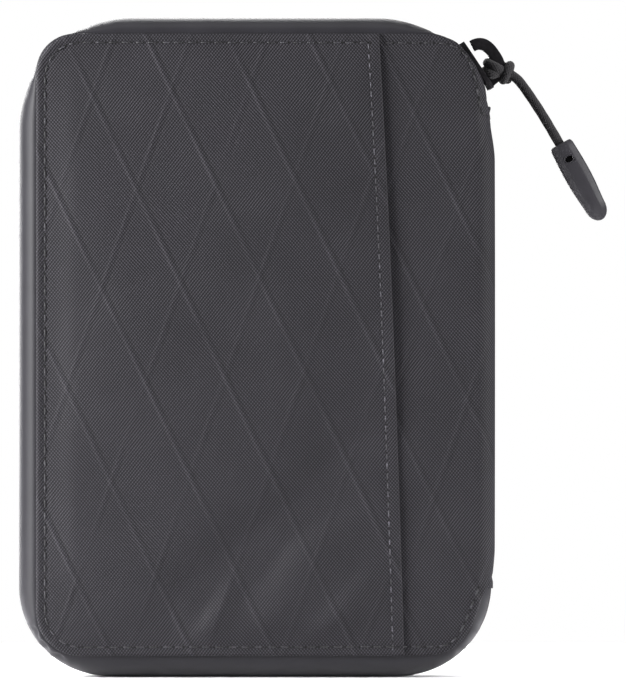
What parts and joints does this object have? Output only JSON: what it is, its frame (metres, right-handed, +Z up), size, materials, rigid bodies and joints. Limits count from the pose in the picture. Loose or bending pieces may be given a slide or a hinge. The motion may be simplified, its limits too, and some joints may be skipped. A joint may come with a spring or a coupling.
{
  "type": "passport holder wallet",
  "caption": "Zip-around passport wallet with folding covers, an outer slip pocket, card and passport pockets, and a corded zip pull.",
  "frame": {"origin": "middle of the base, on the surface the wallet stands on, under the plane where its two halves meet", "axes": "+X towards the spine, -Y out of the front cover with the slip pocket, +Z up along the wallet's height"},
  "size_m": [0.1307, 0.0229, 0.146],
  "materials": {
    "shell_fabric": "dark charcoal laminated ripstop with a diamond ply",
    "zip_tape": "smooth coated zip tape, satin",
    "stiffener_board": "thin foam board",
    "binding_tape": "ribbed binding tape",
    "zip_coil": "nylon coil",
    "lining_fabric": "plain-woven lining",
    "pocket_fabric": "plain-woven pocket fabric",
    "zip_metal": "blackened die-cast zinc",
    "pull_cord": "braided cord",
    "pull_rubber": "moulded matte rubber"
  },
  "bodies": {
    "spine": {"spine_panel": "shell_fabric", "spine_lining": "lining_fabric", "zip_tail_top": "zip_tape", "zip_tail_bottom": "zip_tape", "zip_top_stop_front": "zip_metal", "zip_top_stop_back": "zip_metal", "zip_bottom_stop": "zip_metal"},
    "front_half": {"front_cover_fabric": "shell_fabric", "front_slip_pocket": "shell_fabric", "front_stiffener": "stiffener_board", "front_lining": "lining_fabric", "front_seam_binding": "binding_tape", "front_gusset": "zip_tape", "front_zip_tape": "zip_tape", "front_zip_coil": "zip_coil", "cash_sleeve": "pocket_fabric", "card_slot_1": "pocket_fabric", "card_slot_2": "pocket_fabric", "card_slot_3": "pocket_fabric"},
    "back_half": {"back_cover_fabric": "shell_fabric", "back_stiffener": "stiffener_board", "back_lining": "lining_fabric", "back_seam_binding": "binding_tape", "back_gusset": "zip_tape", "back_zip_tape": "zip_tape", "back_zip_coil": "zip_coil", "passport_pocket": "pocket_fabric", "passport_pocket_binding": "binding_tape"},
    "slider": {"slider_body": "zip_metal", "slider_crown": "zip_metal"},
    "pull_loop": {"pull_cord_knot": "pull_cord"},
    "pull": {"pull_cord": "pull_cord", "pull_tab": "pull_rubber"}
  },
  "joints": [
    {"name": "front_fold", "type": "hinge", "parent": "spine", "child": "front_half", "pos_m": [0.05175, -0.01005, 0.0718], "axis": [0, 0, 1], "range_deg": [0, 90]},
    {"name": "back_fold", "type": "hinge", "parent": "spine", "child": "back_half", "pos_m": [0.05175, 0.01005, 0.0718], "axis": [0, 0, -1], "range_deg": [0, 90]},
    {"name": "slider_run", "type": "hinge", "parent": "spine", "child": "slider", "pos_m": [0.0264, 0, 0.12], "axis": [0, 1, 0], "range_deg": [-56, 0]},
    {"name": "pull_sway", "type": "hinge", "parent": "slider", "child": "pull_loop", "pos_m": [0.0542, 0, 0.1346], "axis": [0.829, 0, 0.5592], "range_deg": [-35, 35], "stiffness_Nm_per_rad": 0.002},
    {"name": "pull_swing", "type": "hinge", "parent": "pull_loop", "child": "pull", "pos_m": [0.0572, 0, 0.1332], "axis": [0, -1, 0], "range_deg": [-12, 80], "stiffness_Nm_per_rad": 0.002}
  ]
}
